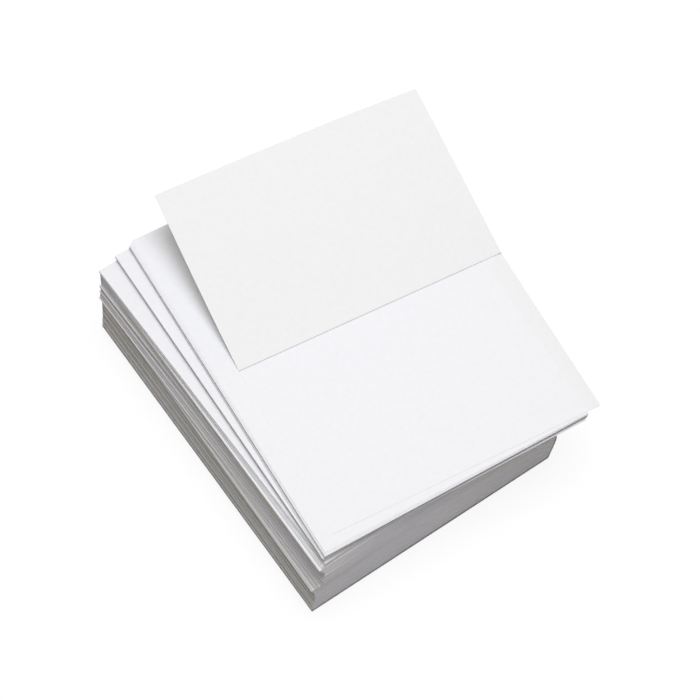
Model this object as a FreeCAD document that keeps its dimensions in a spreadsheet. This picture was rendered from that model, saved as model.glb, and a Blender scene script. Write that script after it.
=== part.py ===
"""A loose pile of perforated letter sheets, with the top sheet folded up at its perforation.

Frame: millimetres, Z up, X along the sheets' short side, Y along their long side. The lowest sheet
is centred on the origin and lies on the plane Z = 0. The corner at -X, -Y is the front left one.

The pile is made of lifts: runs of sheets that moved together when the pile was fanned. A lift is
lofted from the outline of its lowest sheet to the outline of its highest one, and each lift lies
face to face on the one below. Lifts that follow one another evenly form a run, whose lowest and
highest lift are placed by hand; the lifts between are spaced evenly.
"""
import FreeCAD, Part
import os
import math
from collections import Counter

import Sketcher

# Driving dimensions: alias, value, meaning
DIMENSIONS = (
    ("sheet_width", 215.9, "short side of a sheet"),
    ("sheet_length", 279.4, "long side of a sheet"),
    ("sheet_thickness", 0.19, "one sheet with the air that it keeps in a loose pile"),
    ("creep_share", 0.6, "part of the way to the next lift that the sheets of a lift creep"),
    ("perforation_from_front", 139.7, "front edge of the top sheet to its perforation"),
    ("flap_rise_left", 18.4, "degrees by which the flap's left side stands up"),
    ("flap_rise_right", 15.5, "degrees by which the flap's right side stands up"),
    ("slit_length", 1.6, "one slit of the perforation"),
    ("slit_tie", 0.9, "uncut paper between two slits"),
    ("slit_width", 0.35, "opening of a slit across the fold"),
    ("slit_margin", 1.2, "uncut paper between the sheet's side and the first slit"),
    ("top_sheet_x", 36.7, "top sheet, shift to the right"),
    ("top_sheet_y", -3.3, "top sheet, shift to the back"),
    ("top_sheet_turn", -7.04, "top sheet, turn in degrees, anticlockwise from above"),
)

# Runs of lifts from the bottom up: part of the pile that its lifts are named after, run, lifts,
# sheets in each lift, and the shift to the right, the shift to the back and the turn in degrees of
# the run's lowest lift and of its highest. A lip is a lift that stands out over the ones below it.
RUNS = (
    ("foot", "foot", 4, 11, (0.0, 0.0, 0.0), (0.5, -0.2, -0.12)),
    ("lower", "lower", 5, 10, (0.6, -0.2, -0.14), (1.2, -0.3, -0.16)),
    ("swell", "swell", 6, 10, (1.4, -0.4, -0.06), (1.5, -0.7, -0.12)),
    ("ledge", "ledge", 5, 11, (1.5, -0.8, -0.15), (0.8, -1.2, -0.50)),
    ("jut", "jut", 2, 11, (0.3, -1.4, -0.72), (0.15, -1.5, -0.76)),
    ("waist", "fan", 4, 7, (0.35, -1.3, -0.51), (1.5, -1.1, 0.29)),
    ("waist", "low_lip", 1, 8, (0.75, -1.0, 0.68), (0.75, -1.0, 0.68)),
    ("waist", "rise", 2, 10, (1.5, -1.0, 0.62), (2.0, -1.0, 0.74)),
    ("upper", "climb", 2, 10, (2.45, -0.95, 0.80), (2.9, -0.95, 0.82)),
    ("upper", "middle_lip", 1, 8, (1.9, -0.95, 0.86), (1.9, -0.95, 0.86)),
    ("upper", "saddle", 3, 10, (2.85, -0.95, 0.84), (3.35, -0.95, 0.88)),
    ("upper", "high_lip", 1, 10, (3.1, -0.5, 1.15), (3.1, -0.5, 1.15)),
    ("upper", "slope", 2, 10, (3.8, -0.8, 0.82), (3.95, -0.9, 0.68)),
    ("shoulder", "neck", 3, 12, (3.4, -0.8, 0.74), (2.8, -1.4, 0.16)),
    ("shoulder", "brim", 1, 11, (2.0, -1.8, -0.16), (2.0, -1.8, -0.16)),
    ("shoulder", "crown", 2, 8, (3.05, -0.9, 0.0), (3.95, -0.4, 0.27)),
    ("shoulder", "cap", 1, 10, (3.95, 0.8, 0.84), (3.95, 0.8, 0.84)),
    ("second_bundle", "second_bundle", 3, 8, (11.9, -3.2, -2.38), (11.6, -3.4, -2.30)),
    ("bright_bundle", "bright_bundle", 1, 4, (17.3, -8.3, -4.95), (17.3, -8.3, -4.95)),
    ("thin_bundle", "thin_bundle", 2, 5, (17.6, -7.9, -4.65), (17.7, -8.0, -4.60)),
    ("top_bundle", "top_bundle", 1, 10, (18.1, -8.1, -4.45), (18.1, -8.1, -4.45)),
    ("loose_sheet", "loose_sheet", 3, 1, (18.9, -7.7, -4.60), (20.3, -6.6, -4.95)),
)
PLACES = ("x", "y", "turn")

doc = FreeCAD.newDocument("perforated_paper_pile")
sizes = doc.addObject("Spreadsheet::Sheet", "sizes")
next_row = 1


def put(alias, value, meaning):
    """One named value in the sheet of sizes."""
    global next_row
    sizes.set(f"A{next_row}", meaning)
    sizes.set(f"B{next_row}", str(value))
    sizes.setAlias(f"B{next_row}", alias)
    next_row += 1


for alias, value, meaning in DIMENSIONS:
    put(alias, value, meaning)
for _, run, lifts, sheets, low, high in RUNS:
    put(f"{run}_sheets", sheets, f"{run}: sheets in one lift")
    for place, at_low, at_high in zip(PLACES, low, high):
        put(f"{run}_{place}_low", at_low, f"{run}: {place} of its lowest lift")
        put(f"{run}_{place}_high", at_high, f"{run}: {place} of its highest lift")
doc.recompute()


def plane(body, role):
    """One of a body's own origin planes."""
    return next(o for o in body.Origin.OriginFeatures if o.Role == role)


def sketch_on(body, role, name):
    """An empty sketch on an origin plane of its body."""
    sketch = body.newObject("Sketcher::SketchObject", name)
    sketch.AttachmentSupport = [(plane(body, role), "")]
    sketch.MapMode = "FlatFace"
    return sketch


def drive(thing, bindings):
    """Binds properties of an object to expressions."""
    for prop, expression in bindings.items():
        thing.setExpression(prop, expression)


def closed_outline(sketch, corners):
    """Straight edges round a list of corners, joined end to end."""
    count = len(corners)
    points = [FreeCAD.Vector(u, v, 0) for u, v in corners]
    for i in range(count):
        sketch.addGeometry(Part.LineSegment(points[i], points[(i + 1) % count]))
    for i in range(count):
        sketch.addConstraint(Sketcher.Constraint("Coincident", i, 2, (i + 1) % count, 1))


def centred_rectangle(sketch, width, length):
    """A rectangle about the sketch's origin, its sides bound to two expressions."""
    half_u = sizes.sheet_width / 2
    half_v = sizes.sheet_length / 2
    closed_outline(sketch, [(-half_u, -half_v), (half_u, -half_v), (half_u, half_v), (-half_u, half_v)])
    for side in (0, 2):
        sketch.addConstraint(Sketcher.Constraint("Horizontal", side))
    for side in (1, 3):
        sketch.addConstraint(Sketcher.Constraint("Vertical", side))
    sketch.addConstraint(Sketcher.Constraint("Symmetric", 0, 1, 2, 1, -1, 1))
    across = sketch.addConstraint(Sketcher.Constraint("DistanceX", 0, 1, 0, 2, 2 * half_u))
    along = sketch.addConstraint(Sketcher.Constraint("DistanceY", 1, 1, 1, 2, 2 * half_v))
    drive(sketch, {f"Constraints[{across}]": width, f"Constraints[{along}]": length})


def lift(label, run, index, lifts, below):
    """A lift of sheets: lofted between the outlines of its lowest and its highest sheet."""
    body = doc.addObject("PartDesign::Body", label)
    body.Label = label
    step = {p: f"(sizes.{run}_{p}_high - sizes.{run}_{p}_low) / {max(lifts - 1, 1)}" for p in PLACES}
    place = {p: f"sizes.{run}_{p}_low + {index} * {step[p]}" for p in PLACES}

    lowest = sketch_on(body, "XY_Plane", f"{label}_lowest")
    highest = sketch_on(body, "XY_Plane", f"{label}_highest")
    for outline in (lowest, highest):
        centred_rectangle(outline, "sizes.sheet_width", "sizes.sheet_length")
    drive(
        highest,
        {
            ".AttachmentOffset.Base.x": f"sizes.creep_share * {step['x']}",
            ".AttachmentOffset.Base.y": f"sizes.creep_share * {step['y']}",
            ".AttachmentOffset.Base.z": f"sizes.{run}_sheets * sizes.sheet_thickness",
            ".AttachmentOffset.Rotation.Angle": f"sizes.creep_share * {step['turn']}",
        },
    )
    loft = body.newObject("PartDesign::AdditiveLoft", f"{label}_sheets")
    loft.Profile = lowest
    loft.Sections = [highest]
    loft.Ruled = True
    body.Tip = loft

    resting_height = "0"
    if below is not None:
        resting_height = f"{below.Name}.Placement.Base.z + {below.Name}_highest.AttachmentOffset.Base.z"
    drive(
        body,
        {
            ".Placement.Base.x": place["x"],
            ".Placement.Base.y": place["y"],
            ".Placement.Base.z": resting_height,
            ".Placement.Rotation.Angle": place["turn"],
        },
    )
    return body


def folded_profile(body, name, rise):
    """The top sheet seen from its side: flat to the perforation, then standing up as a flap.

    The fold at a perforation is sharp, so the thickness is mitred there.
    """
    sketch = sketch_on(body, "YZ_Plane", name)
    thickness = sizes.sheet_thickness
    front = -sizes.sheet_length / 2
    fold = front + sizes.perforation_from_front
    flap = sizes.sheet_length - sizes.perforation_from_front
    angle = math.radians(sizes.get(rise))
    along = FreeCAD.Vector(math.cos(angle), math.sin(angle), 0)
    across = FreeCAD.Vector(-math.sin(angle), math.cos(angle), 0)
    tip = FreeCAD.Vector(fold, 0, 0) + along * flap
    tip_top = tip + across * thickness
    fold_top = fold - thickness * math.tan(angle / 2)
    closed_outline(
        sketch,
        [(front, 0), (fold, 0), (tip.x, tip.y), (tip_top.x, tip_top.y), (fold_top, thickness), (front, thickness)],
    )
    under_front, under_flap, flap_end, over_flap, over_front, front_end = range(6)
    for flat in (under_front, over_front):
        sketch.addConstraint(Sketcher.Constraint("Horizontal", flat))
    sketch.addConstraint(Sketcher.Constraint("Vertical", front_end))
    sketch.addConstraint(Sketcher.Constraint("PointOnObject", under_front, 1, -1))
    sketch.addConstraint(Sketcher.Constraint("Parallel", under_flap, over_flap))
    sketch.addConstraint(Sketcher.Constraint("Perpendicular", flap_end, under_flap))
    sized = (
        (("DistanceX", under_front, 1, -1, 1, -front), "sizes.sheet_length / 2"),
        (("Distance", under_front, -front + fold), "sizes.perforation_from_front"),
        (("Distance", under_flap, flap), "sizes.sheet_length - sizes.perforation_from_front"),
        (("Distance", front_end, thickness), "sizes.sheet_thickness"),
        (("Distance", flap_end, thickness), "sizes.sheet_thickness"),
        (("Angle", under_front, 1, under_flap, 1, angle), f"sizes.{rise} * 1 deg"),
    )
    for arguments, expression in sized:
        index = sketch.addConstraint(Sketcher.Constraint(*arguments))
        sketch.setExpression(f"Constraints[{index}]", expression)
    return sketch


def folded_sheet(below):
    """The top sheet: perforated across, and folded up along the perforation into a warped flap."""
    body = doc.addObject("PartDesign::Body", "top_sheet")
    body.Label = "top_sheet"
    left = folded_profile(body, "side_left", "flap_rise_left")
    right = folded_profile(body, "side_right", "flap_rise_right")
    left.setExpression(".AttachmentOffset.Base.z", "-sizes.sheet_width / 2")
    right.setExpression(".AttachmentOffset.Base.z", "sizes.sheet_width / 2")
    paper = body.newObject("PartDesign::AdditiveLoft", "paper")
    paper.Profile = left
    paper.Sections = [right]
    paper.Ruled = True
    body.Tip = paper
    doc.recompute()
    uncut = paper.Shape.Volume

    slit = sketch_on(body, "XY_Plane", "slit")
    first = -sizes.sheet_width / 2 + sizes.slit_margin
    fold = sizes.perforation_from_front - sizes.sheet_length / 2
    half_cut = sizes.slit_width / 2
    last = first + sizes.slit_length
    closed_outline(
        slit,
        [(first, fold - half_cut), (last, fold - half_cut), (last, fold + half_cut), (first, fold + half_cut)],
    )
    for side in (0, 2):
        slit.addConstraint(Sketcher.Constraint("Horizontal", side))
    for side in (1, 3):
        slit.addConstraint(Sketcher.Constraint("Vertical", side))
    cut_from = "sizes.sheet_length / 2 - sizes.perforation_from_front + sizes.slit_width / 2"
    sized = (
        (("DistanceX", 0, 1, 0, 2, sizes.slit_length), "sizes.slit_length"),
        (("DistanceY", 1, 1, 1, 2, sizes.slit_width), "sizes.slit_width"),
        (("DistanceX", 0, 1, -1, 1, -first), "sizes.sheet_width / 2 - sizes.slit_margin"),
        (("DistanceY", 0, 1, -1, 1, half_cut - fold), cut_from),
    )
    for arguments, expression in sized:
        index = slit.addConstraint(Sketcher.Constraint(*arguments))
        slit.setExpression(f"Constraints[{index}]", expression)
    cut = body.newObject("PartDesign::Pocket", "slit_cut")
    cut.Profile = slit
    cut.Type = "ThroughAll"
    cut.Reversed = True
    body.Tip = cut
    doc.recompute()
    if not cut.Shape.Volume < uncut:
        raise RuntimeError("the slit doesn't cut the sheet")

    perforation = body.newObject("PartDesign::LinearPattern", "perforation")
    perforation.Originals = [cut]
    perforation.Direction = (slit, ["H_Axis"])
    room = "(sizes.sheet_width - 2 * sizes.slit_margin - sizes.slit_length)"
    pitch = "(sizes.slit_length + sizes.slit_tie)"
    drive(perforation, {"Occurrences": f"floor({room} / {pitch}) + 1", "Length": f"floor({room} / {pitch}) * {pitch}"})
    body.Tip = perforation
    drive(
        body,
        {
            ".Placement.Base.x": "sizes.top_sheet_x",
            ".Placement.Base.y": "sizes.top_sheet_y",
            ".Placement.Base.z": f"{below.Name}.Placement.Base.z + {below.Name}_highest.AttachmentOffset.Base.z",
            ".Placement.Rotation.Angle": "sizes.top_sheet_turn",
        },
    )
    return body


in_part = Counter()
for part, _, lifts, _, _, _ in RUNS:
    in_part[part] += lifts
pieces = []
named = Counter()
for part, run, lifts, _, _, _ in RUNS:
    for index in range(lifts):
        named[part] += 1
        label = f"{part}_{named[part]}" if in_part[part] > 1 else part
        pieces.append(lift(label, run, index, lifts, pieces[-1] if pieces else None))
pieces.append(folded_sheet(pieces[-1]))
doc.recompute()

for item in doc.Objects:
    if {"Invalid", "Error"} & set(item.State):
        raise RuntimeError(f"{item.Name} failed: {item.State}")
for piece in pieces:
    if piece.Shape.isNull() or not piece.Shape.isValid() or piece.Shape.Volume <= 0:
        raise RuntimeError(f"{piece.Label} has no sound shape")

os.makedirs("parts", exist_ok=True)
for piece in pieces:
    piece.Shape.exportStep(f"parts/{piece.Label}.step")
total = sum(lifts * sheets for _, _, lifts, sheets, _, _ in RUNS) + 1
print(f"{len(pieces)} pieces for {total} sheets")
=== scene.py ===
import math
from collections import namedtuple

import bpy
import numpy as np
from mathutils import Matrix, Vector


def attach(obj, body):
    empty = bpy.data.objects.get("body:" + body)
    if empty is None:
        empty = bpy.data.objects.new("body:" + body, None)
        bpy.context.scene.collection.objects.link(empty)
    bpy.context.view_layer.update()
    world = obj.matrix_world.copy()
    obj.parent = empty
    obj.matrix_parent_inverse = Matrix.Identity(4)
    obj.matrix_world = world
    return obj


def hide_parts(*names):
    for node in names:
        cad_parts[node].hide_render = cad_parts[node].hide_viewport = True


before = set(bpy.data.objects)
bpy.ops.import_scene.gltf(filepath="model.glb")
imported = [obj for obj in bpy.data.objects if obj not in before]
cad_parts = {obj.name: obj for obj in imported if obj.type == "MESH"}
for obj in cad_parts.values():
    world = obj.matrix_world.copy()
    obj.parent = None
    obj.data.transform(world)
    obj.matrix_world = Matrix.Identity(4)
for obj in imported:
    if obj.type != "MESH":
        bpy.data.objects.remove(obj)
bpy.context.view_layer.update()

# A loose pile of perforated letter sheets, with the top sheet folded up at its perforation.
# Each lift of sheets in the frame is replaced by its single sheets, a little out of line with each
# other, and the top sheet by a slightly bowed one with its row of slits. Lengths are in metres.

MM = 0.001

# Sheets of the pile
SHEET_PITCH = 0.19 * MM        # a sheet with the air that it keeps, as in the frame
SAME_LEVEL = 0.1 * SHEET_PITCH    # points of one level are within this height
PAPER = 0.155 * MM             # the paper alone
CELLS_ACROSS = 8
CELLS_ALONG = 10
CORNER_CELL = 0.013            # the last cell's share of the width and of the length
SHARP_EDGE = math.radians(30)    # the mesh has sharp edges where it turns by more than this

# How far sheets are out of line
GROUP_LARGEST = 5              # sheets that kept together inside a lift
GROUP_SLIP_ACROSS = 0.22 * MM
GROUP_SLIP_ALONG = 0.03 * MM
GROUP_TURN = math.radians(0.035)
SHEET_SLIP = 0.03 * MM
GAP_CONTRAST = 1.6             # how unevenly the air of a lift is shared by its gaps
EVEN_GAPS = 0.3                # from the front edge to this share of the length they turn uneven
GAP_WAVES = (0.5, 1.1, 2.3)    # half waves over a sheet that make up a gap's shape
GAP_WAVE_HEIGHT = 0.8
NO_AIR = 1e-9                  # keeps the sum of a lift's shares of air above zero

# How light a cut edge is, next to the common colour of its side: a random tone, and painted
# light and shade. Sheets at the rim of a narrow ledge get a painted highlight. Those right above
# a ledge, and those below ones that stand out, get painted shade.
GROUP_TONE = 0.08              # spread between groups of sheets, on the left and right sides
SHEET_TONE = 0.05              # spread between neighbours
END_TONE_SHARE = 0.3           # how much of both spreads the front and back sides show
END_RELIEF = 2.0               # steps there are small, and are taken as this much larger
END_RELIEF_SHARE = 0.5         # how much of the light and shade at these steps shows
LEDGE_SHEETS = 5               # sheets in a rim
LEDGE_WIDTH = 0.6 * MM         # a ledge this wide is seen in full
LEDGE_WIDEST = 3.0 * MM        # a rim's light fades out towards this width of its ledge
LEDGE_LIGHT = 2.6
FOOT_SHEETS = 4                # sheets in painted shade right above a ledge
FOOT_DARK = 0.55
SHADE_SHEETS = 14              # sheets below one that stands out, down to the end of its shade
SHADE_WIDTH = 0.8 * MM         # sheets that stand out this far give the darkest shade
SHADE_DARK = 0.65
FLOOR_SHADE = 5.0 * MM         # painted floor shade: ends at this height, full up to half of it
FLOOR_SHADE_DARK = 0.93
CORNER_DARK = 0.85             # at the back left and front right corners

# Lifts with painted light and shade on their cut edges, at the steps and overhangs around them:
# at the front of the left and right sides, at the back of these sides, and on the front and back
# sides
NO_LIFT_SHADING = (1.0, 1.0, 1.0)
LIFT_LIGHT_AND_SHADE = {
    "shoulder_5": (2.0, 1.0, 1.0),
    "shoulder_6": (0.8, 0.35, 0.9),
    "shoulder_7": (0.15, 0.12, 0.5),
    "second_bundle": (1.2, 0.85, 1.1),
    "bright_bundle": (1.2, 0.15, 1.2),
    "thin_bundle": (0.4, 0.12, 0.6),
    "top_bundle": (1.6, 2.6, 0.2),
    "loose_sheet": (1.2, 3.0, 0.25),
}

# The top sheet's perforation, as in the frame
SLIT_LENGTH = 1.6 * MM
SLIT_TIE = 0.9 * MM
SLIT_WIDTH = 0.35 * MM
SLIT_MARGIN = 1.2 * MM
CREASE_SHADE_WIDTH = 0.6 * MM        # from the fold to the end of its painted shade
TOP_ROWS = 22                  # rows of cells in each half of the top sheet

# The top sheet's bow
FLAP_HOLLOW = 2.6 * MM         # the flap's left side sags between the fold and its free end
FLAP_ARCH = 1.5 * MM           # the flap's free end is higher in its middle than at its corners
FLAP_CORNER_CURL = 1.6 * MM    # the back right corner turns down
CURL_START = 0.6               # share of the width where it starts to
OVERHANG_DROOP = 1.4 * MM      # the front right corner hangs down past the sheets below
DROOP_AT_FOLD = 0.35           # share of the droop that is left at the fold

# The top sheet's look
LYING_EDGE_LIGHT = 2.5          # painted light on its left and right edges in front of the fold
# painted shade on the flap's left and right edges
FLAP_EDGE_SHADE = 0.2
# painted shade on its edges across the sheet: the front, the flap's end and the slits' long walls
FRONT_EDGE_SHADE = 0.2
UNBACKED_WIDTH = 1.5 * MM      # it looks unbacked this far past the sheets below

# Paper faces. Waves are numbers of waves to a metre, along each axis.
WHITE = (1.0, 1.0, 1.0)
PAPER_BACKED = (0.885, 0.885, 0.905)     # with more sheets right below
PAPER_UNBACKED = (0.875, 0.873, 0.872)   # with nothing below, so a little light is lost through it
PAPER_CREASE_SHADE = (0.55, 0.55, 0.56)        # painted shade where the perforation's slits are in shade
PAPER_CLOUD = (0.982, 0.982, 0.982)
PAPER_ROUGHNESS = 0.82
PAPER_SPECULAR = 0.25
CLOUD_WAVES = (260.0, 260.0, 260.0)
CLOUD_DETAIL = 4.0
CLOUD_RANGE = (0.35, 0.65)               # of the noise, from the darkest cloud to none
FIBRE_WAVES = (5200.0, 2340.0, 5200.0)   # fibres lie along the sheet's length
FIBRE_DETAIL = 3.0
FIBRE_DEPTH = 0.02 * MM
FIBRE_STRENGTH = 0.35

# Cut edges on the left and right sides, in painted shade: far darker than those on the front and
# back. Streaks are a few sheets high.
SHADED_EDGE_SIDE = (0.29, 0.275, 0.29)
SHADED_EDGE_SIDE_BROWN = (0.285, 0.267, 0.215)
BROWN_WAVES = (14.0, 14.0, 84.0)
BROWN_DETAIL = 3.0
BROWN_RANGE = (0.42, 0.60)
STREAKY_HEIGHTS = (22.0 * MM, 42.0 * MM)   # below these the side is brown, with soft streaks only
STREAK_WAVES = (2.5, 2.5, 240.0)
STREAK_DETAIL = 2.0
STREAK_RANGE = (0.42, 0.60)
STREAK_DARK = (0.55, 0.55, 0.55)
STREAK_LIGHT = (1.9, 1.87, 1.83)
STREAK_SOFT_DARK = (0.6, 0.6, 0.6)
STREAK_SOFT_LIGHT = (1.4, 1.4, 1.4)

# Cut edges on the front and back sides
EDGE_END = (0.82, 0.825, 0.90)
EDGE_END_WARM = (0.88, 0.87, 0.90)
WARM_WAVES = (11.0, 11.0, 11.0)
WARM_DETAIL = 2.0
WARM_RANGE = (0.45, 0.65)
STREAK_END = (0.93, 0.93, 0.93)

# All cut edges
EDGE_LIGHTEST = (0.90, 0.90, 0.91)
EDGE_ROUGHNESS = 0.95
EDGE_SPECULAR = 0.1
KNIFE_WAVES = (2600.0, 2600.0, 156.0)    # the knife left marks across the sheets
KNIFE_DETAIL = 2.0
KNIFE_DEPTH = 0.03 * MM
KNIFE_STRENGTH = 0.5

# Floor and light
FLOOR_COLOUR = (0.60, 0.60, 0.60)
FLOOR_SHOWN = (0.16, 0.16, 0.16)         # the part of the floor's look that takes shadows
FLOOR_GLOW = 0.875                       # the part that doesn't
FLOOR_SIZE = 12.0
FLOOR_DEPTH = 0.02 * MM                  # below the lowest sheet
WORLD_STRENGTH = 0.32
WORLD_COLOUR = (1.0, 0.92, 0.83)
LAMP_POWER = 18.5
LAMP_COLOUR = (0.975, 1.01, 1.06)
LAMP_SIZE = 1.0
LAMP_PLACE = Vector((0.0, -0.03, 1.6))
LAMP_TARGET = Vector((0.03, 0.0, 0.05))

# The photograph's camera
LENS = 105.78                            # mm, for a sensor 36 mm wide
SENSOR = 36.0
VIEW_AZIMUTH = math.radians(-41.406)
VIEW_ELEVATION = math.radians(62.212)
VIEW_ROLL = math.radians(6.643)
VIEW_TARGET = Vector((29.03, 7.53, 25.0)) * MM
VIEW_DISTANCE = 1.5449

rng = np.random.RandomState(500)


# Frame readings
def node_points(node):
    """A frame node's points as an array."""
    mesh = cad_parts[node].data
    points = np.empty(len(mesh.vertices) * 3)
    mesh.vertices.foreach_get("co", points)
    return points.reshape(-1, 3)


def rectangle_corners(points):
    """Corners of a rectangle that is nearly along X and Y: front left, front right, back ones."""
    signs = ((-1, -1), (1, -1), (-1, 1), (1, 1))
    return np.array([points[np.argmax(points[:, :2] @ np.array(sign))] for sign in signs])


def outlines(node):
    """The outline of a lift's lowest sheet and the outline at its top."""
    points = node_points(node)
    heights = points[:, 2]
    return (
        rectangle_corners(points[heights < heights.min() + SAME_LEVEL]),
        rectangle_corners(points[heights > heights.max() - SAME_LEVEL]),
    )


# Meshes of sheets
PAPER_FACE = 0
SIDE_CUT = 1                   # at the left or right
END_CUT = 2                    # at the front or back

# A slab of paper. Each point has two tones, which say how light the cuts are there, with their
# random tone and painted light and shade, and how far it is unbacked or in the painted shade of
# the fold, from 0 to 1.
Slab = namedtuple("Slab", "points faces kinds side_tones end_tones unbacked crease")


def smooth_step(value):
    """0 below 0, 1 above 1, and smooth between."""
    value = np.clip(value, 0, 1)
    return value * value * (3 - 2 * value)


def patch(corners, across, along):
    """Points of the surface between four corners, for shares across and along it."""
    u = across[:, None, None]
    v = along[None, :, None]
    front_left, front_right, back_left, back_right = corners
    front = front_left + (front_right - front_left) * u
    back = back_left + (back_right - back_left) * u
    return front + (back - front) * v


def slab_faces(keep):
    """Faces of a slab over a grid of cells, and the kind of each.

    keep says which cells are paper. The points of the grid's underside come first, row by row, and
    those of its upper side after them.
    """
    cells_u, cells_v = keep.shape
    upper = (cells_u + 1) * (cells_v + 1)
    faces = []
    kinds = []

    def at(i, j):
        return i * (cells_v + 1) + j

    def is_paper(i, j):
        return 0 <= i < cells_u and 0 <= j < cells_v and keep[i, j]

    for i, j in np.argwhere(keep).tolist():
        ring = (at(i, j), at(i + 1, j), at(i + 1, j + 1), at(i, j + 1))
        faces.append(tuple(reversed(ring)))
        faces.append(tuple(k + upper for k in ring))
        kinds.extend((PAPER_FACE, PAPER_FACE))
        beside = ((i, j - 1), (i + 1, j), (i, j + 1), (i - 1, j))
        for edge, neighbour in enumerate(beside):
            if is_paper(*neighbour):
                continue
            start = ring[edge]
            end = ring[(edge + 1) % 4]
            faces.append((start, end, end + upper, start + upper))
            kinds.append(END_CUT if edge in (0, 2) else SIDE_CUT)
    return faces, kinds


def make_slab(under, upper, faces, kinds, *marks):
    """A slab between two grids of points. Each of its marks is a grid, and is the same for both."""
    points = np.concatenate([under.reshape(-1, 3), upper.reshape(-1, 3)])
    return Slab(points, faces, kinds, *(np.tile(mark.ravel(), 2) for mark in marks))


def paper_object(name, slabs, nodes):
    """An object made of paper slabs, in the place of frame nodes."""
    faces = []
    tones_and_shading = []
    offset = 0
    for slab in slabs:
        faces.extend(tuple(k + offset for k in face) for face in slab.faces)
        for face, kind in zip(slab.faces, slab.kinds):
            tones_and_shading.extend((slab.end_tones if kind == END_CUT else slab.side_tones)[list(face)])
        offset += len(slab.points)
    kinds = np.concatenate([slab.kinds for slab in slabs])
    mesh = bpy.data.meshes.new(name)
    mesh.from_pydata(np.concatenate([slab.points for slab in slabs]).tolist(), [], faces)
    mesh.polygons.foreach_set("material_index", (kinds != PAPER_FACE).astype(np.int32))
    # The tone mark holds the cuts' random tone together with their painted light and shade
    for mark, domain, values in (
        ("tone", "CORNER", tones_and_shading),
        ("end_cut", "FACE", kinds == END_CUT),
        ("unbacked", "POINT", np.concatenate([slab.unbacked for slab in slabs])),
        ("crease", "POINT", np.concatenate([slab.crease for slab in slabs])),
    ):
        attribute = mesh.attributes.new(mark, "FLOAT", domain)
        attribute.data.foreach_set("value", np.array(values, np.float32))
    mesh.materials.append(paper_face)
    mesh.materials.append(cut_edge)
    mesh.shade_smooth()
    mesh.set_sharp_from_angle(angle=SHARP_EDGE)
    mesh.update()
    piece = bpy.data.objects.new(name, mesh)
    bpy.context.scene.collection.objects.link(piece)
    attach(piece, "root")
    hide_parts(*nodes)


# Materials
def node_of(tree, kind, **values):
    """A shader node with its properties set."""
    made = tree.nodes.new(kind)
    for name, value in values.items():
        setattr(made, name, value)
    return made


def blank_material(name):
    """A material with only its output and its main shader, and the place that its noise is over."""
    material = bpy.data.materials.new(name)
    material.use_nodes = True
    tree = material.node_tree
    place = node_of(tree, "ShaderNodeTexCoord").outputs["Object"]
    return material, tree, tree.nodes["Principled BSDF"], place


def mark_of(tree, name):
    """A mark that the meshes carry."""
    return node_of(tree, "ShaderNodeAttribute", attribute_name=name).outputs["Fac"]


def noise(tree, place, waves, detail):
    """Noise over a place, with its own number of waves to a metre along each axis."""
    stretched = node_of(tree, "ShaderNodeMapping")
    stretched.inputs["Scale"].default_value = waves
    made = node_of(tree, "ShaderNodeTexNoise")
    made.inputs["Scale"].default_value = 1.0
    made.inputs["Detail"].default_value = detail
    tree.links.new(place, stretched.inputs["Vector"])
    tree.links.new(stretched.outputs["Vector"], made.inputs["Vector"])
    return made.outputs["Fac"]


def share_of_range(tree, value, low, high):
    """How far a value is from the low to the high end of a range, from 0 to 1."""
    made = node_of(tree, "ShaderNodeMapRange")
    made.inputs["From Min"].default_value = low
    made.inputs["From Max"].default_value = high
    tree.links.new(value, made.inputs["Value"])
    return made.outputs["Result"]


def mix_colours(tree, share, first, second, blend="MIX"):
    """Mixes two colours, each a colour or an output, by an output or a number."""
    made = node_of(tree, "ShaderNodeMix", data_type="RGBA", blend_type=blend)
    sockets = (made.inputs[0], made.inputs[6], made.inputs[7])
    for socket, value in zip(sockets, (share, first, second)):
        if isinstance(value, bpy.types.NodeSocket):
            tree.links.new(value, socket)
        elif isinstance(value, tuple):
            socket.default_value = (*value, 1.0)
        else:
            socket.default_value = value
    return made.outputs[2]


def scale_colour(tree, colour, factor):
    """A colour times a number, both outputs."""
    made = node_of(tree, "ShaderNodeVectorMath", operation="SCALE")
    tree.links.new(colour, made.inputs[0])
    tree.links.new(factor, made.inputs["Scale"])
    return made.outputs["Vector"]


def bump(tree, height, depth, strength):
    """A bump of a given depth."""
    made = node_of(tree, "ShaderNodeBump")
    made.inputs["Strength"].default_value = strength
    made.inputs["Distance"].default_value = depth
    tree.links.new(height, made.inputs["Height"])
    return made.outputs["Normal"]


def make_paper_face():
    """Uncoated white paper: faint clouds in its formation and a fine tooth of fibres."""
    material, tree, shader, place = blank_material("paper_face")
    sheet = mix_colours(tree, mark_of(tree, "unbacked"), PAPER_BACKED, PAPER_UNBACKED)
    # Painted shade along the fold, where its slits are in shade
    ground = mix_colours(tree, mark_of(tree, "crease"), sheet, PAPER_CREASE_SHADE)
    clouds = share_of_range(tree, noise(tree, place, CLOUD_WAVES, CLOUD_DETAIL), *CLOUD_RANGE)
    cloudy = mix_colours(tree, clouds, PAPER_CLOUD, WHITE)
    colour = mix_colours(tree, 1.0, ground, cloudy, "MULTIPLY")
    tooth = bump(tree, noise(tree, place, FIBRE_WAVES, FIBRE_DETAIL), FIBRE_DEPTH, FIBRE_STRENGTH)
    tree.links.new(colour, shader.inputs["Base Color"])
    tree.links.new(tooth, shader.inputs["Normal"])
    shader.inputs["Roughness"].default_value = PAPER_ROUGHNESS
    shader.inputs["Specular IOR Level"].default_value = PAPER_SPECULAR
    return material


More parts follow.
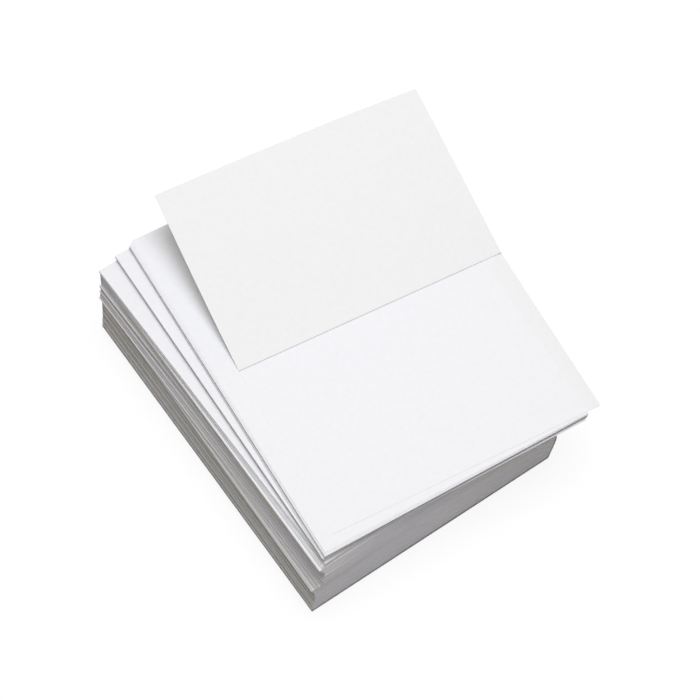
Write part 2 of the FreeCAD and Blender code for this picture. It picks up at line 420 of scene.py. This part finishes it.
def edge_ground(tree, place, end_cut, upper):
    """The common colours of the cut edges, before tones and streaks."""
    brown = share_of_range(tree, noise(tree, place, BROWN_WAVES, BROWN_DETAIL), *BROWN_RANGE)
    # The left and right sides are in painted shade, far darker than the front and back
    upper_side = mix_colours(tree, brown, SHADED_EDGE_SIDE, SHADED_EDGE_SIDE_BROWN)
    side = mix_colours(tree, upper, SHADED_EDGE_SIDE_BROWN, upper_side)
    warm = share_of_range(tree, noise(tree, place, WARM_WAVES, WARM_DETAIL), *WARM_RANGE)
    end = mix_colours(tree, warm, EDGE_END, EDGE_END_WARM)
    return mix_colours(tree, end_cut, side, end)


def edge_streaks(tree, place, end_cut, upper):
    """Streaks along the cut edges: strong high up on the left and right, faint on the ends."""
    streaks = noise(tree, place, STREAK_WAVES, STREAK_DETAIL)
    strength = share_of_range(tree, streaks, *STREAK_RANGE)
    strong = mix_colours(tree, strength, STREAK_DARK, STREAK_LIGHT)
    soft = mix_colours(tree, streaks, STREAK_SOFT_DARK, STREAK_SOFT_LIGHT)
    side = mix_colours(tree, upper, soft, strong)
    end = mix_colours(tree, streaks, STREAK_END, WHITE)
    return mix_colours(tree, end_cut, side, end)


def make_cut_edge():
    """Cut edges: painted shade darker than the faces, a tone for each sheet, faint knife marks."""
    material, tree, shader, place = blank_material("cut_edge")
    end_cut = mark_of(tree, "end_cut")
    axes = node_of(tree, "ShaderNodeSeparateXYZ")
    tree.links.new(place, axes.inputs[0])
    upper = share_of_range(tree, axes.outputs["Z"], *STREAKY_HEIGHTS)
    # The tone mark brings each sheet's random tone and the painted light and shade of the cuts
    toned_and_shaded = scale_colour(tree, edge_ground(tree, place, end_cut, upper), mark_of(tree, "tone"))
    streaked = mix_colours(tree, 1.0, toned_and_shaded, edge_streaks(tree, place, end_cut, upper), "MULTIPLY")
    colour = mix_colours(tree, 1.0, streaked, EDGE_LIGHTEST, "DARKEN")
    marks = bump(tree, noise(tree, place, KNIFE_WAVES, KNIFE_DETAIL), KNIFE_DEPTH, KNIFE_STRENGTH)
    tree.links.new(colour, shader.inputs["Base Color"])
    tree.links.new(marks, shader.inputs["Normal"])
    shader.inputs["Roughness"].default_value = EDGE_ROUGHNESS
    shader.inputs["Specular IOR Level"].default_value = EDGE_SPECULAR
    return material


# The pile
def gap_shape(across, along):
    """How the air in one gap is spread: a smooth random surface, even at the front edge."""
    wave = np.zeros((len(across), len(along)))
    for waves in GAP_WAVES:
        phase = rng.uniform(0, 2 * math.pi, 2)
        height = rng.normal(0, GAP_WAVE_HEIGHT)
        wave += height * np.outer(
            np.cos(waves * math.pi * across + phase[0]), np.cos(waves * math.pi * along + phase[1])
        )
    return np.exp(GAP_CONTRAST * wave * smooth_step(along / EVEN_GAPS)[None, :])


def split_in_groups(count):
    """Sheet counts of the groups that kept together, from the lowest up."""
    groups = []
    while sum(groups) < count:
        groups.append(min(rng.randint(1, GROUP_LARGEST + 1), count - sum(groups)))
    return groups


def slipped(corners, slip, turn):
    """Corners turned a little about their middle and slipped, at height 0."""
    centre = corners.mean(axis=0)
    x, y, _ = (corners - centre).T
    placed_x = x - turn * y + centre[0] + slip[0]
    placed_y = y + turn * x + centre[1] + slip[1]
    return np.stack([placed_x, placed_y, 0 * x], axis=1)


def lift_sheets(node):
    """The sheets of one lift, each as its node, the grid of its underside and its own tone.

    The sheets are in groups that slipped together, with an uneven gap below each group.
    """
    across = np.append(np.linspace(0, 1 - CORNER_CELL, CELLS_ACROSS), 1)
    along = np.append(np.linspace(0, 1 - CORNER_CELL, CELLS_ALONG), 1)
    lowest, highest = outlines(node)
    bottom = lowest[0, 2]
    height = highest[0, 2] - bottom
    count = max(1, round(height / SHEET_PITCH))
    groups = split_in_groups(count)
    shares = np.array([gap_shape(across, along) for _ in groups])
    if bottom < SAME_LEVEL:
        shares[0] = 0          # the lowest sheet lies on the floor
    air = height - count * PAPER
    gaps = air * np.cumsum(shares, axis=0) / np.maximum(shares.sum(axis=0), NO_AIR)
    loose = 0 if count == 1 else 1    # a sheet that is a lift by itself stays in its frame place
    sheets = []
    for group, gap in zip(groups, gaps):
        slip = rng.normal(0, 1, 2) * (GROUP_SLIP_ACROSS, GROUP_SLIP_ALONG)
        turn = rng.normal(0, GROUP_TURN)
        group_tone = rng.normal(0, GROUP_TONE)
        for _ in range(group):
            index = len(sheets)
            corners = lowest + (highest - lowest) * index / count
            own_slip = slip + rng.normal(0, SHEET_SLIP, 2)
            under = patch(slipped(corners, own_slip * loose, turn * loose), across, along)
            under[..., 2] = bottom + index * PAPER + gap
            sheets.append((node, under, group_tone + rng.normal(0, SHEET_TONE)))
    return sheets


def relief_light_and_shade(reach):
    """Painted light and shade on one side's edges, from how far out each sheet reaches along it."""
    tones_and_shading = np.ones(reach.shape)
    for index in range(len(reach) - 1):
        above = reach[index + 1:index + 1 + SHADE_SHEETS]
        nearness = 1 - np.arange(len(above))[:, None] / SHADE_SHEETS
        shade = ((above - reach[index]) * nearness).max(axis=0)
        tones_and_shading[index] -= SHADE_DARK * smooth_step(shade / SHADE_WIDTH)
        below = reach[max(0, index - FOOT_SHEETS):index]
        if len(below):
            foot = below.max(axis=0) - reach[index]
            tones_and_shading[index] *= 1 - FOOT_DARK * smooth_step(foot / LEDGE_WIDTH)
        higher = reach[index + LEDGE_SHEETS:index + 2 * LEDGE_SHEETS + 1]
        if len(higher):
            ledge = reach[index] - higher.max(axis=0)
            narrow = smooth_step((LEDGE_WIDEST - ledge) / LEDGE_WIDEST)
            tones_and_shading[index] *= 1 + LEDGE_LIGHT * smooth_step(ledge / LEDGE_WIDTH) * narrow
    return tones_and_shading


def make_pile(nodes):
    """All lifts, from the lowest up, as single sheets."""
    sheets = [sheet for node in nodes for sheet in lift_sheets(node)]
    grids = np.array([under for _, under, _ in sheets])
    # Painted light and shade on each side, from the steps between the sheets' edges
    left = relief_light_and_shade(-grids[:, 0, :, 0])
    right = relief_light_and_shade(grids[:, -1, :, 0])
    front = relief_light_and_shade(-grids[:, :, 0, 1] * END_RELIEF)
    back = relief_light_and_shade(grids[:, :, -1, 1] * END_RELIEF)
    faces, kinds = slab_faces(np.ones((CELLS_ACROSS, CELLS_ALONG), bool))
    unmarked = np.zeros((CELLS_ACROSS + 1, CELLS_ALONG + 1))
    slabs = {node: [] for node in nodes}
    for index, (node, under, tone) in enumerate(sheets):
        # Painted light and shade of some lifts' cut edges
        lift = node if node in LIFT_LIGHT_AND_SHADE else node.rstrip("_0123456789")
        front_shading, back_shading, end_shading = LIFT_LIGHT_AND_SHADE.get(lift, NO_LIFT_SHADING)
        painted_floor_shade = 1 - FLOOR_SHADE_DARK * smooth_step(2 - 2 * under[0, 0, 2] / FLOOR_SHADE)
        side_tones = unmarked.copy()
        side_tones[0] = left[index]
        side_tones[-1] = right[index]
        side_tones *= np.linspace(front_shading, back_shading, CELLS_ALONG + 1) * (1 + tone) * painted_floor_shade
        side_tones[0, -1] *= 1 - CORNER_DARK
        relief = unmarked.copy()
        relief[:, 0] = front[index]
        relief[:, -1] = back[index]
        end_tones = 1 + END_RELIEF_SHARE * (relief - 1) + END_TONE_SHARE * tone
        end_tones *= end_shading * painted_floor_shade
        end_tones[-1, 0] *= 1 - CORNER_DARK
        marks = (side_tones, end_tones, unmarked, unmarked)
        slabs[node].append(make_slab(under, under + (0, 0, PAPER), faces, kinds, *marks))
    for node in nodes:
        paper_object(f"{node}_paper", slabs[node], [node])


# The top sheet
def slit_columns(width):
    """Columns of points across the top sheet, as shares of its width: at both ends of each slit."""
    slits = int((width - 2 * SLIT_MARGIN - SLIT_LENGTH) / (SLIT_LENGTH + SLIT_TIE)) + 1
    starts = SLIT_MARGIN + np.arange(slits) * (SLIT_LENGTH + SLIT_TIE)
    return np.sort(np.concatenate([[0, width], starts, starts + SLIT_LENGTH])) / width


def rows_to_fold(length):
    """Rows of points up to the fold, as shares of the length.

    The last three are where the fold's painted shade starts, at the rim of the slits and at the
    fold.
    """
    even = np.linspace(0, 1 - CREASE_SHADE_WIDTH / length, TOP_ROWS - 1)
    return np.concatenate([even, [1 - SLIT_WIDTH / 2 / length, 1]])


def distance_past_right_edge(points, corners):
    """How far points lie to the right of the right edge of a sheet."""
    start = corners[1, :2]
    end = corners[3, :2]
    along = (end - start) / np.linalg.norm(end - start)
    outward = np.array([along[1], -along[0]])
    return (points[..., :2] - start) @ outward


def overhang_droop(past, rows):
    """How far the lying half hangs down, from how far it is past the sheets below."""
    towards_front = 1 - rows[None, :]
    along = DROOP_AT_FOLD + (1 - DROOP_AT_FOLD) * towards_front
    return OVERHANG_DROOP * np.clip(past / past.max(), 0, 1) ** 2 * along


def flap_bow(across, rows):
    """How far the flap is above the plain surface between its corners."""
    u = across[:, None]
    v = rows[None, :]
    hollow = FLAP_HOLLOW * 4 * v * (1 - v) * (1 - u)
    arch = FLAP_ARCH * v ** 2 * (1 - (2 * u - 1) ** 2)
    curl = FLAP_CORNER_CURL * smooth_step((u - CURL_START) / (1 - CURL_START)) ** 2 * v ** 3
    return arch - hollow - curl


def unit_normals(grid):
    """The unit normals of a grid of points."""
    normals = np.cross(np.gradient(grid, axis=0), np.gradient(grid, axis=1))
    return normals / np.linalg.norm(normals, axis=2, keepdims=True)


def make_top_sheet():
    """The perforated top sheet: its front half lies on the pile, its flap stands up, bowed."""
    points = node_points("top_sheet")
    lying = points[points[:, 2] < points[:, 2].min() + SAME_LEVEL]
    front_left, front_right, fold_left, fold_right = rectangle_corners(lying)
    _, _, end_left, end_right = rectangle_corners(points)
    across = slit_columns(np.linalg.norm(front_right - front_left))
    lying_rows = rows_to_fold(np.linalg.norm(fold_left - front_left))
    flap_rows = 1 - lying_rows[::-1]

    lying_half = patch((front_left, front_right, fold_left, fold_right), across, lying_rows)
    past = distance_past_right_edge(lying_half, outlines("loose_sheet_3")[1])
    lying_half[..., 2] -= overhang_droop(past, lying_rows)
    flap = patch((fold_left, fold_right, end_left, end_right), across, flap_rows)
    flap[..., 2] += flap_bow(across, flap_rows)
    under = np.concatenate([lying_half, flap[:, 1:]], axis=1)
    upper = under + unit_normals(under) * PAPER

    # Every second cell across is a slit, in the rows right before and behind the fold
    grid = under.shape[:2]
    keep = np.ones((grid[0] - 1, grid[1] - 1), bool)
    keep[1::2, TOP_ROWS - 1:TOP_ROWS + 1] = False
    faces, kinds = slab_faces(keep)
    # Painted light on the lying half's left and right edges, painted shade on the other edges
    side_tones = np.full(grid, FLAP_EDGE_SHADE)
    side_tones[:, :TOP_ROWS + 1] = LYING_EDGE_LIGHT
    end_tones = np.full(grid, FRONT_EDGE_SHADE)
    unbacked = np.ones(grid)
    unbacked[:, :TOP_ROWS + 1] = smooth_step(past / UNBACKED_WIDTH)
    # Painted shade along the fold
    crease = np.zeros(grid)
    crease[:, TOP_ROWS - 1:TOP_ROWS + 2] = 1
    slab = make_slab(under, upper, faces, kinds, side_tones, end_tones, unbacked, crease)
    paper_object("top_sheet_paper", [slab], ["top_sheet"])


# Stage: world, floor, lamp and camera
def seen_by_camera(tree):
    """1 for rays that show the background: from the camera, in a reflection or through glass."""
    rays = node_of(tree, "ShaderNodeLightPath")
    most = rays.outputs["Is Camera Ray"]
    for name in ("Is Glossy Ray", "Is Transmission Ray"):
        larger = node_of(tree, "ShaderNodeMath", operation="MAXIMUM")
        tree.links.new(most, larger.inputs[0])
        tree.links.new(rays.outputs[name], larger.inputs[1])
        most = larger.outputs[0]
    return most


def show_another(tree, light, shown, surface):
    """Gives a surface one shader for its light and another where the background is seen."""
    either = node_of(tree, "ShaderNodeMixShader")
    tree.links.new(seen_by_camera(tree), either.inputs[0])
    tree.links.new(light.outputs[0], either.inputs[1])
    tree.links.new(shown.outputs[0], either.inputs[2])
    tree.links.new(either.outputs[0], surface)


def make_world():
    """Even light from all round, slightly warm, seen as a white background."""
    world = bpy.data.worlds.new("studio")
    bpy.context.scene.world = world
    world.use_nodes = True
    tree = world.node_tree
    light = tree.nodes["Background"]
    light.inputs["Strength"].default_value = WORLD_STRENGTH
    light.inputs["Color"].default_value = (*WORLD_COLOUR, 1.0)
    shown = node_of(tree, "ShaderNodeBackground")
    shown.inputs["Color"].default_value = (*WHITE, 1.0)
    show_another(tree, light, shown, tree.nodes["World Output"].inputs["Surface"])


def make_floor_material():
    """A plain pale floor that is seen as white, with the pile's shadow on it."""
    material = bpy.data.materials.new("floor")
    material.use_nodes = True
    tree = material.node_tree
    tree.nodes.remove(tree.nodes["Principled BSDF"])
    lit = node_of(tree, "ShaderNodeBsdfDiffuse")
    lit.inputs["Color"].default_value = (*FLOOR_COLOUR, 1.0)
    shown_lit = node_of(tree, "ShaderNodeBsdfDiffuse")
    shown_lit.inputs["Color"].default_value = (*FLOOR_SHOWN, 1.0)
    glow = node_of(tree, "ShaderNodeEmission")
    glow.inputs["Color"].default_value = (*WHITE, 1.0)
    glow.inputs["Strength"].default_value = FLOOR_GLOW
    shown = node_of(tree, "ShaderNodeAddShader")
    tree.links.new(shown_lit.outputs[0], shown.inputs[0])
    tree.links.new(glow.outputs[0], shown.inputs[1])
    show_another(tree, lit, shown, tree.nodes["Material Output"].inputs["Surface"])
    return material


def make_floor():
    """The floor, a square just below the pile."""
    side = FLOOR_SIZE / 2
    corners = [(-side, -side, 0), (side, -side, 0), (side, side, 0), (-side, side, 0)]
    mesh = bpy.data.meshes.new("floor")
    mesh.from_pydata(corners, [], [(0, 1, 2, 3)])
    mesh.materials.append(make_floor_material())
    floor = bpy.data.objects.new("floor", mesh)
    floor.location.z = -FLOOR_DEPTH
    bpy.context.scene.collection.objects.link(floor)


def make_lamp():
    """A square soft lamp above the pile."""
    data = bpy.data.lights.new("overhead", "AREA")
    data.shape = "SQUARE"
    data.size = LAMP_SIZE
    data.energy = LAMP_POWER
    data.color = LAMP_COLOUR
    lamp = bpy.data.objects.new("overhead", data)
    lamp.location = LAMP_PLACE
    lamp.rotation_euler = (LAMP_TARGET - LAMP_PLACE).to_track_quat("-Z", "Y").to_euler()
    bpy.context.scene.collection.objects.link(lamp)


def make_camera():
    """The camera of the photograph."""
    data = bpy.data.cameras.new("camera")
    data.sensor_width = SENSOR
    data.lens = LENS
    camera = bpy.data.objects.new("camera", data)
    back = Vector((
        math.sin(VIEW_AZIMUTH) * math.cos(VIEW_ELEVATION),
        -math.cos(VIEW_AZIMUTH) * math.cos(VIEW_ELEVATION),
        math.sin(VIEW_ELEVATION),
    ))
    right = Vector((0, 0, 1)).cross(back).normalized()
    up = back.cross(right)
    rolled_right = right * math.cos(VIEW_ROLL) + up * math.sin(VIEW_ROLL)
    rolled_up = up * math.cos(VIEW_ROLL) - right * math.sin(VIEW_ROLL)
    turn = Matrix((rolled_right, rolled_up, back)).transposed()
    camera.matrix_world = Matrix.Translation(VIEW_TARGET + back * VIEW_DISTANCE) @ turn.to_4x4()
    bpy.context.scene.collection.objects.link(camera)
    bpy.context.scene.camera = camera


paper_face = make_paper_face()
cut_edge = make_cut_edge()
lifts = [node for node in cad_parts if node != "top_sheet"]
make_pile(sorted(lifts, key=lambda node: node_points(node)[:, 2].min()))
make_top_sheet()
make_world()
make_floor()
make_lamp()
make_camera()
bpy.context.scene.view_settings.view_transform = "Standard"
